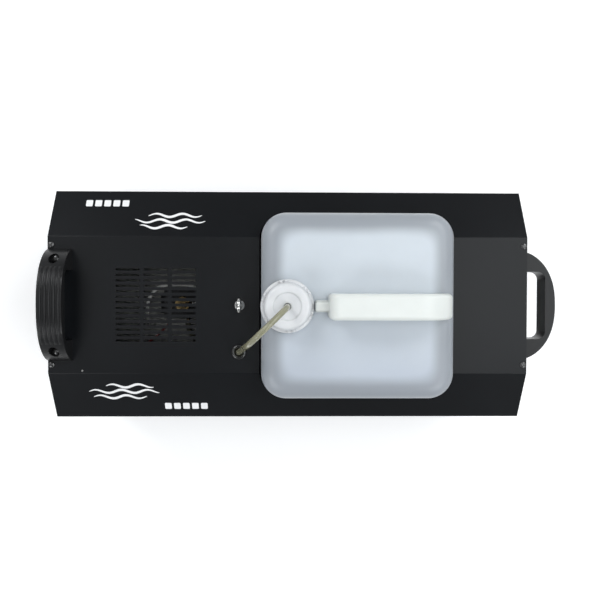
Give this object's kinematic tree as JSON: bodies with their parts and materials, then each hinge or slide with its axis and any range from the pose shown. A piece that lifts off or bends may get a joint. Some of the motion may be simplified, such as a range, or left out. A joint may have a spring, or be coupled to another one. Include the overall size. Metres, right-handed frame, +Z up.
{
  "type": "fog machine",
  "caption": "Fog machine with a folded sheet-metal case, a lift-out fluid bottle in an open well, a heated nozzle at one end and a control panel at the other.",
  "frame": {"origin": "centre of the whole box, on the floor under the feet", "axes": "+X along the case towards the control panel, -X towards the nozzle, +Y across the case, +Z up"},
  "size_m": [0.684, 0.308, 0.3686],
  "materials": {
    "case_paint": "satin powder coat",
    "black_screws": "black zinc",
    "dark_steel": "blackened steel",
    "rubber": "matt moulded rubber",
    "zinc": "zinc plated",
    "handle_plastic": "fine moulded grain",
    "bright_steel": "bright plated",
    "brass": "turned",
    "cast_aluminium": "as cast",
    "lagging": "woven glass fibre",
    "ceramic_white": "unglazed",
    "coil_plastic": "moulded",
    "feed_tube": "clear tube",
    "hose": "translucent, yellowed",
    "lead_red": "lead sleeve",
    "lead_white": "glass braid sleeve",
    "board_green": "solder mask",
    "relay_blue": "moulded",
    "black_plastic": "moulded",
    "window": "display window",
    "button_plastic": "moulded",
    "rocker_red": "moulded",
    "socket_metal": "nickel plated",
    "bottle_plastic": "blow-moulded, translucent",
    "cap_plastic": "moulded",
    "seal": "foam seal",
    "filter": "sintered"
  },
  "bodies": {
    "case": {"cover": "case_paint", "base_pan": "case_paint", "front_panel": "case_paint", "rear_panel": "case_paint", "bottle_well": "case_paint", "cover_screws": "black_screws", "rubber_feet": "rubber", "foot_screws": "zinc", "front_handle": "handle_plastic", "rear_handle": "handle_plastic", "handle_screws": "black_screws", "safety_eye": "bright_steel", "eye_nut": "zinc", "hose_grommet": "rubber", "hose_coupling": "brass", "heat_shield": "zinc", "heater_block": "cast_aluminium", "heater_elements": "zinc", "heater_insulation": "lagging", "heater_shell": "zinc", "heater_brackets": "zinc", "thermostat": "ceramic_white", "nozzle": "brass", "nozzle_plate": "bright_steel", "pump_coil": "coil_plastic", "pump_yoke": "dark_steel", "pump_tube": "brass", "pump_spring": "bright_steel", "pump_outlet": "brass", "pump_bracket": "dark_steel", "feed_tube": "feed_tube", "inlet_hose": "hose", "pump_leads": "lead_red", "heater_leads": "lead_white", "circuit_board": "board_green", "board_spacers": "brass", "relays": "relay_blue", "transformer": "zinc", "display_housing": "black_plastic", "display_window": "window", "power_switch_frame": "black_plastic", "mains_inlet": "black_plastic", "fuse_holder": "black_plastic", "dmx_in": "socket_metal", "dmx_out": "socket_metal", "dmx_out_core": "black_plastic", "socket_screws": "zinc"},
    "bottle": {"bottle": "bottle_plastic", "supply_hose": "hose", "pickup_filter": "filter"},
    "seal": {"cap_seal": "seal"},
    "cap": {"bottle_cap": "cap_plastic"},
    "rocker": {"power_rocker": "rocker_red"},
    "button_1": {"menu_button_1": "button_plastic"},
    "button_2": {"menu_button_2": "button_plastic"},
    "button_3": {"menu_button_3": "button_plastic"},
    "button_4": {"menu_button_4": "button_plastic"},
    "fuse": {"fuse_cap": "black_plastic"},
    "latch": {"dmx_latch": "black_plastic"},
    "plunger": {"pump_plunger": "bright_steel"}
  },
  "joints": [
    {"name": "bottle_lift", "type": "slide", "parent": "case", "child": "bottle", "axis": [0, 0, 1], "range_m": [0, 0.15]},
    {"name": "cap_rise", "type": "slide", "parent": "bottle", "child": "seal", "axis": [0, 0, 1], "range_m": [0, 0.006]},
    {"name": "cap_turn", "type": "hinge", "parent": "seal", "child": "cap", "pos_m": [-0.018, 0, 0.315], "axis": [0, 0, 1], "range_deg": [0, 360]},
    {"name": "rocker_tip", "type": "hinge", "parent": "case", "child": "rocker", "pos_m": [0.294, 0.045, 0.066], "axis": [0, 0, 1], "range_deg": [0, 14]},
    {"name": "button_1_press", "type": "slide", "parent": "case", "child": "button_1", "axis": [-1, 0, 0], "range_m": [0, 0.002], "stiffness_N_per_m": 400},
    {"name": "button_2_press", "type": "slide", "parent": "case", "child": "button_2", "axis": [-1, 0, 0], "range_m": [0, 0.002], "stiffness_N_per_m": 400},
    {"name": "button_3_press", "type": "slide", "parent": "case", "child": "button_3", "axis": [-1, 0, 0], "range_m": [0, 0.002], "stiffness_N_per_m": 400},
    {"name": "button_4_press", "type": "slide", "parent": "case", "child": "button_4", "axis": [-1, 0, 0], "range_m": [0, 0.002], "stiffness_N_per_m": 400},
    {"name": "fuse_turn", "type": "hinge", "parent": "case", "child": "fuse", "pos_m": [0.296, 0.005, 0.066], "axis": [1, 0, 0], "range_deg": [0, 90]},
    {"name": "latch_press", "type": "slide", "parent": "case", "child": "latch", "axis": [-1, 0, 0], "range_m": [0, 0.002], "stiffness_N_per_m": 500},
    {"name": "plunger_stroke", "type": "slide", "parent": "case", "child": "plunger", "axis": [0, 0, -1], "range_m": [0, 0.004], "stiffness_N_per_m": 900, "deforming": ["pump_spring"]}
  ],
  "couplings": [
    {"joint": "cap_rise", "follows": "cap_turn", "m_per_rad": 0.00095493}
  ]
}
